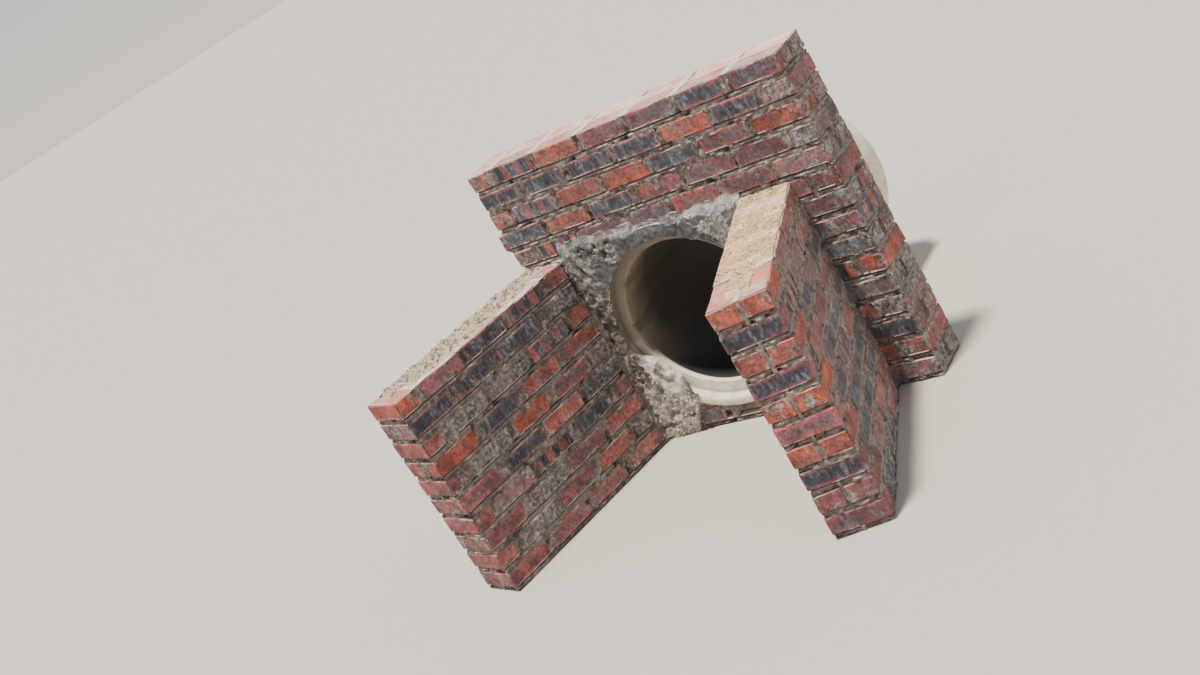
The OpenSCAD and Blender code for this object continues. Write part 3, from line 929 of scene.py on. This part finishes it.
concrete, tree, shader = new_material("spun concrete, silted, painted shade inside", 0.85)
wall_place = put(tree, "ShaderNodeTexCoord", out="Object")
split = put(tree, "ShaderNodeSeparateXYZ", {0: wall_place}, None).outputs
flow = put(tree, "ShaderNodeVectorMath", {0: wall_place, 1: (1.0, 0.25, 1.0)}, operation="MULTIPLY")
# Its fine pitting, taken as under 1 mm, is drawn coarser, so that it shows.
cloud, stain, fine = [
    put(tree, "ShaderNodeTexNoise", {
        "Vector": place, "Scale": round(1000 / apart), "Detail": folds, "Roughness": rough,
    })
    for place, apart, folds, rough in (
        (wall_place, 167, 5, 0.6), (flow, 71, 5, 0.65), (wall_place, 8.33, 4, 0.7),
    )
]
flat = put(tree, "ShaderNodeVectorMath", {0: wall_place, 1: (0.0, 0.0, PIPE_Z)}, operation="SUBTRACT")
flat = put(tree, "ShaderNodeVectorMath", {0: flat, 1: (1.0, 0.0, 1.0)}, operation="MULTIPLY")
from_axis = put(tree, "ShaderNodeVectorMath", {0: flat}, "Value", operation="LENGTH")
upward = upward_in(tree)
pale = coat(tree, "#DDD0B4", "#F2E9D6", cloud, 0.35, 0.65)
pale = coat(tree, pale, "#F6EBD8", upward, 0.2, 0.8, 0.6)
pale = coat(tree, pale, "#8F8066", stain, 0.50, 0.68, 0.45)
# High on the front round the mouth, shade is painted over the stain: olive-grey on the left, nearly black on
# the right.
high = put(tree, "ShaderNodeMath", {0: cloud, 1: 0.30, 2: split[2]}, operation="MULTIPLY_ADD")
high = put(tree, "ShaderNodeMapRange", {0: high, 1: 0.52, 2: 0.66})
front = put(tree, "ShaderNodeMapRange", {0: split[1], 1: -0.03, 2: -0.05})
high = put(tree, "ShaderNodeMath", {0: high, 1: front}, operation="MULTIPLY")
shade = coat(tree, "#8A8173", "#171412", split[0], 0.05, 0.16)
colour = put(tree, "ShaderNodeMix", {0: high, 6: pale, 7: shade}, **COLOURS)
# Inside the bore: silt and painted shade that darken with depth, and damp with painted shade low down, nearly
# black at the mouth.
deep = put(tree, "ShaderNodeMath", {0: stain, 1: 0.16, 2: split[1]}, operation="MULTIPLY_ADD")
low_damp_and_shade_mask = put(tree, "ShaderNodeMath", {0: stain, 1: 0.25, 2: split[2]}, operation="MULTIPLY_ADD")
further = put(tree, "ShaderNodeMath", {0: split[1], 1: 0.5, 2: split[2]}, operation="MULTIPLY_ADD")
damp_and_shade = coat(tree, "#1A1A1B", "#4F4E4C", further, 0.22, 0.36)
silt_and_shade = coat(tree, "#A0927F", "#544D46", deep, -0.04, 0.20)
silt_and_shade = coat(tree, silt_and_shade, damp_and_shade, low_damp_and_shade_mask, 0.60, 0.42)
silt_and_shade = coat(tree, silt_and_shade, "#2C2824", stain, 0.5, 0.75, 0.5)
# Low down the pale dust lies over the edge of the bore, and high up the bore's dark colour comes out over its
# rounded edge as painted shade.
rim = put(tree, "ShaderNodeMath", {0: high, 1: -0.006, 2: from_axis}, operation="MULTIPLY_ADD")
in_bore = put(tree, "ShaderNodeMapRange", {0: rim, 1: BORE_R + 0.007, 2: BORE_R + 0.002})
low = put(tree, "ShaderNodeMapRange", {0: split[2], 1: 0.36, 2: 0.42})
rim = put(tree, "ShaderNodeMapRange", {0: split[1], 1: -0.056, 2: -0.046})
rim = put(tree, "ShaderNodeMath", {0: rim, 1: low}, operation="MAXIMUM")
in_bore = put(tree, "ShaderNodeMath", {0: in_bore, 1: rim}, operation="MULTIPLY")
colour = put(tree, "ShaderNodeMix", {0: in_bore, 6: colour, 7: silt_and_shade}, **COLOURS)
# The corner of the rebate is coloured darker.
in_corner = put(tree, "ShaderNodeMapRange", {0: from_axis, 1: REBATE_R - 0.008, 2: REBATE_R - 0.003, 4: 0.6})
for by, start, end in ((split[1], -0.086, -0.078), (from_axis, REBATE_R + 0.002, REBATE_R + 0.001)):
    share = put(tree, "ShaderNodeMapRange", {0: by, 1: start, 2: end})
    in_corner = put(tree, "ShaderNodeMath", {0: in_corner, 1: share}, operation="MULTIPLY")
colour = put(tree, "ShaderNodeMix", {0: in_corner, 6: colour, 7: linear("#6B5F4E")}, **COLOURS)
colour = coat(tree, colour, "#4D463B", fine, 0.5, 0.75, 0.4)
dress(tree, shader, colour, Strength=0.6, Distance=0.002, Height=fine)

# Half of its lengthwise section, as (radius, distance from the mouth), from the rebate to the bore.
rebate = [
    (BORE_R, 0.058), (0.346, 0.054), (0.349, 0.051), (0.355, 0.050),
    (0.398, 0.050), (REBATE_R, 0.047), (REBATE_R, 0.024),
]
lip = [
    (0.4014, 0.016), (0.4030, 0.009), (0.4060, 0.004), (0.411, 0.001), (0.417, 0.0), (0.428, 0.0),
    (0.435, 0.001), (0.440, 0.004), (0.4435, 0.009), (PIPE_R, 0.016),
]
barrel = [(PIPE_R, 0.3), (PIPE_R, 0.7), (PIPE_R, SHOULDER - 0.010)]
spigot = [
    (0.439, SHOULDER), (0.398, SHOULDER), (SPIGOT_R, SHOULDER + 0.002), (SPIGOT_R, PIPE_L - 0.003),
    (0.393, PIPE_L), (BORE_R + 0.003, PIPE_L),
]
bore = [(BORE_R, along) for along in (PIPE_L - 0.003, 0.9, 0.5, 0.2, 0.1)]
turn = np.linspace(0, 2 * math.pi, TURNS, endpoint=False)[:, None]
radius, back = np.array(rebate + lip + barrel + spigot + bore).T
rings = np.dstack([radius * np.cos(turn), MOUTH_Y + back + 0 * turn, PIPE_Z + radius * np.sin(turn)])
index = np.pad(np.arange(rings[..., 0].size).reshape(TURNS, -1), (0, 1), mode="wrap")
quads = net(index.T).reshape(-1, 4).tolist()
culvert_pipe = new_mesh("concrete_pipe", rings.reshape(-1, 3), quads, concrete)
culvert_pipe.data.shade_smooth()
culvert_pipe.data.set_sharp_from_angle(angle=0.6)
finish(culvert_pipe, ["pipe"])


# The mortar round the pipe: thrown on by hand and lapped over the pipe's end, with a few
# strokes of the trowel over the crown. Low down at each side it fills the pipe's rebate.
def swept(angle, profile):
    """Points and faces of a body swept round the pipe's axis from (radius, y) at each angle."""
    radius = np.array([r + 0 * angle for r, _ in profile])
    y = np.array([d + 0 * angle for _, d in profile])
    points = np.stack([radius * np.cos(angle), y, PIPE_Z + radius * np.sin(angle)], -1).reshape(-1, 3)
    index = np.arange(radius.size).reshape(radius.shape)
    quads = net(np.vstack([index, index[:1]])).reshape(-1, 4).tolist()
    return points, quads + [index[:, 0].tolist(), index[:, -1].tolist()]


FACE = -WALL / 2
angle = np.radians(np.linspace(-61, 241, 460))
degrees = np.degrees(angle)
round_pipe = np.stack([np.cos(angle), 0 * angle, np.sin(angle)], -1) * 0.4
filled = ease(degrees, 190, 206) * ease(degrees, 240, 222) + ease(degrees, -8, -17) * ease(degrees, -60, -42)
top = 0.980 + 0.026 * ease(round_pipe[:, 0], 0.02, -0.10) - 0.012 * ease(round_pipe[:, 0], 0.22, 0.30)
top = top + 0.016 * lumps(round_pipe, 0.10, 28) + 0.010 * lumps(round_pipe, 0.03, 29)
channel_side = np.where(np.cos(angle) > 0, SHIFT + CHANNEL / 2 + 0.009, SHIFT - CHANNEL / 2 - 0.008)
with np.errstate(divide="ignore"):
    to_side = channel_side / np.cos(angle)
    to_level = np.where(np.sin(angle) > 0, top - PIPE_Z, -PIPE_Z) / np.sin(angle)
outer = np.minimum(to_side, to_level)
inner = 0.387 + 0.004 * lumps(round_pipe, 0.05, 30) + 0.002 * lumps(round_pipe, 0.015, 31)
inner = inner + 0.014 * ease(degrees, 64, 44) * ease(degrees, 0, 20)
inner = inner - (0.034 + 0.003 * lumps(round_pipe, 0.04, 38)) * filled
lap = FACE - 0.0095
sunk = FACE + 0.006
behind = lap + 0.0485 * filled
shares = np.linspace(0, 1, 36)
profile = [(outer + (inner - outer) * share, FACE) for share in shares]
profile += [
    (inner + 0.001, FACE - 0.0105), (inner + 0.002, behind), (REBATE_R - 0.0005, behind),
    (REBATE_R + 0.0005, lap), (PIPE_R - 0.001, lap), (PIPE_R + 0.001, sunk), (outer, sunk),
]
points, faces = swept(angle, profile)
front = np.arange(len(points)) < len(shares) * len(angle)
from_axis = np.hypot(points[:, 0], points[:, 2] - PIPE_Z)
degrees, filled, top = [np.tile(values, len(profile)) for values in (degrees, filled, top)]
stroke = (0.060 + 0.030 * lumps(points, 0.11, 32)) * ease(degrees, 26, 36) * ease(degrees, 146, 136)
stroke = stroke - 0.05 * ease(np.abs(degrees - 119), 7, 2) + 0.03 * ease(np.abs(degrees - 132), 9, 4)
ragged = 0.016 * lumps(points, 0.040, 33) + 0.006 * lumps(points, 0.012, 46)
trowelled = ease(stroke + ragged + 0.389 - np.maximum(from_axis, 0.389), 0.0, 0.014)
reach = 0.405 + 0.022 * ease(degrees, 210, 228)
wet_edge = from_axis + 0.016 * lumps(points, 0.03, 37) + 0.006 * lumps(points, 0.01, 47)
slurry = ease(wet_edge, reach + 0.020, reach) * filled
thick = 0.0165 + 0.008 * lumps(points, 0.06, 34) + 0.006 * lumps(points, 0.024, 35)
thick = thick + 0.004 * lumps(points, 0.012, 36)
holes = lumps(points, 0.030, 39)
thick = np.where(holes > 0.28, thick - 0.020 * (holes - 0.28) / 0.7, thick)
skim = 0.0180 + 0.002 * lumps(points, 0.05, 40) + 0.0015 * lumps(points, 0.014, 48)
thick = thick + (skim - thick) * trowelled
pits = np.minimum(0.0, 0.5 - lumps(points, 0.014, 49))
pitted = 0.0150 + 0.002 * lumps(points, 0.02, 41) + 0.004 * pits
thick = thick + (pitted - thick) * slurry
# At its top it thins out to a broken smear over the course above.
body = np.where(points[:, 2] > 0.8, ease(top - points[:, 2], 0.0, 0.05), 1.0)
thick = thick * body + (0.0002 + 0.005 * lumps(points, 0.022, 42)) * (1 - body)
thick = np.clip(thick, np.where(from_axis < PIPE_R + 0.002, 0.0115, 0.006 * body - 0.004), 0.0248)
points[:, 1] = np.where(front, FACE - thick, points[:, 1])
# From this relief the mortar's material paints shade into the hollows; left of the mouth the relief is
# lowered further, which paints more shade there.
relief = np.where(front, np.minimum(thick - 0.0175, 0.0), 0.0) * (1 - trowelled) * (1 - slurry) * body
left_of_mouth = ease(points[:, 0], -0.36, -0.41) * ease(np.abs(points[:, 2] - 0.56), 0.18, 0.10)
relief = relief - 0.008 * front * left_of_mouth
whitish = 0.45 * ease(points[:, 0] + 0.08 * lumps(points, 0.06, 45), 0.08, 0.20) * (1 - trowelled)
low_dust = 0.48 * ease(points[:, 2] + 0.05 * lumps(points, 0.06, 43), 0.39, 0.28)
cool = ease(points[:, 2] + 0.10 * lumps(points, 0.09, 27), 0.66, 0.86)
smoothed = trowelled - np.maximum(slurry, np.maximum(low_dust, whitish))
crumbly = np.where(points[:, 2] < 0.5, 0.45 - points[:, 2], np.where(points[:, 0] > 0, 0.02, -0.1))
crumbly = crumbly + 0.25 * lumps(points, 0.07, 44)
loose = front * (crumbly > 0) * (trowelled + slurry < 0.2) * (body > 0.5)
thrown = new_mesh(
    "thrown_mortar", points, faces, mortar,
    relief=relief, smoothed=smoothed, cool=cool, loose=loose + 0.0,
)
rubble = scatter("thrown_rubble", thrown, density=26000.0, smallest=0.0045, material=mortar)
finish(thrown, ["crown_mortar", "left_side_mortar", "right_side_mortar"])
finish(rubble)


# The broken brick that sticks out of the headwall's left end, left there to tie in a longer wall.
# Mortar has run down under it and dried.
levels = np.linspace(0, 1, 26)[:, None]
turn = np.linspace(0, 2 * math.pi, 28, endpoint=False)[None, :]
reach = 0.048 - 0.034 * ease(levels, 0.50, 0.72) + 0.014 * ease(levels, 0.74, 0.88)
deep = 0.0535 - 0.026 * ease(levels, 0.50, 0.85)
corner = np.maximum(np.abs(np.cos(turn)), np.abs(np.sin(turn))) ** 0.95
x = HEAD_X + 0.004 - reach * (0.5 - 0.5 * np.clip(np.cos(turn) / corner, -1, 1)) - 0 * turn
y = -0.041 + deep * np.clip(np.sin(turn) / corner, -1, 1)
z = 1.128 - 0.135 * levels + 0 * turn
stub = np.stack([x, y, z], -1).reshape(-1, 3)
rough = 0.004 * lumps(stub, 0.02, 50) + 0.0025 * lumps(stub, 0.008, 51)
stub[:, 0] -= np.maximum(rough, -0.003)
stub[:, 1] += 0.003 * lumps(stub, 0.018, 52)
index = np.arange(len(stub)).reshape(len(levels), -1)
faces = net(np.hstack([index, index[:, :1]]).T).reshape(-1, 4).tolist()
faces += [index[0].tolist(), index[-1].tolist()]
dull = np.full(len(stub), 0.1)
bat = new_mesh("broken_brick_stub", stub, faces, clay, own=dull, veiled=dull)
bat.data.attributes.new("on_brick", "FLOAT_VECTOR", "POINT").data.foreach_set("vector", stub.ravel())
finish(bat, ["broken_brick"])

low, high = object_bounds()
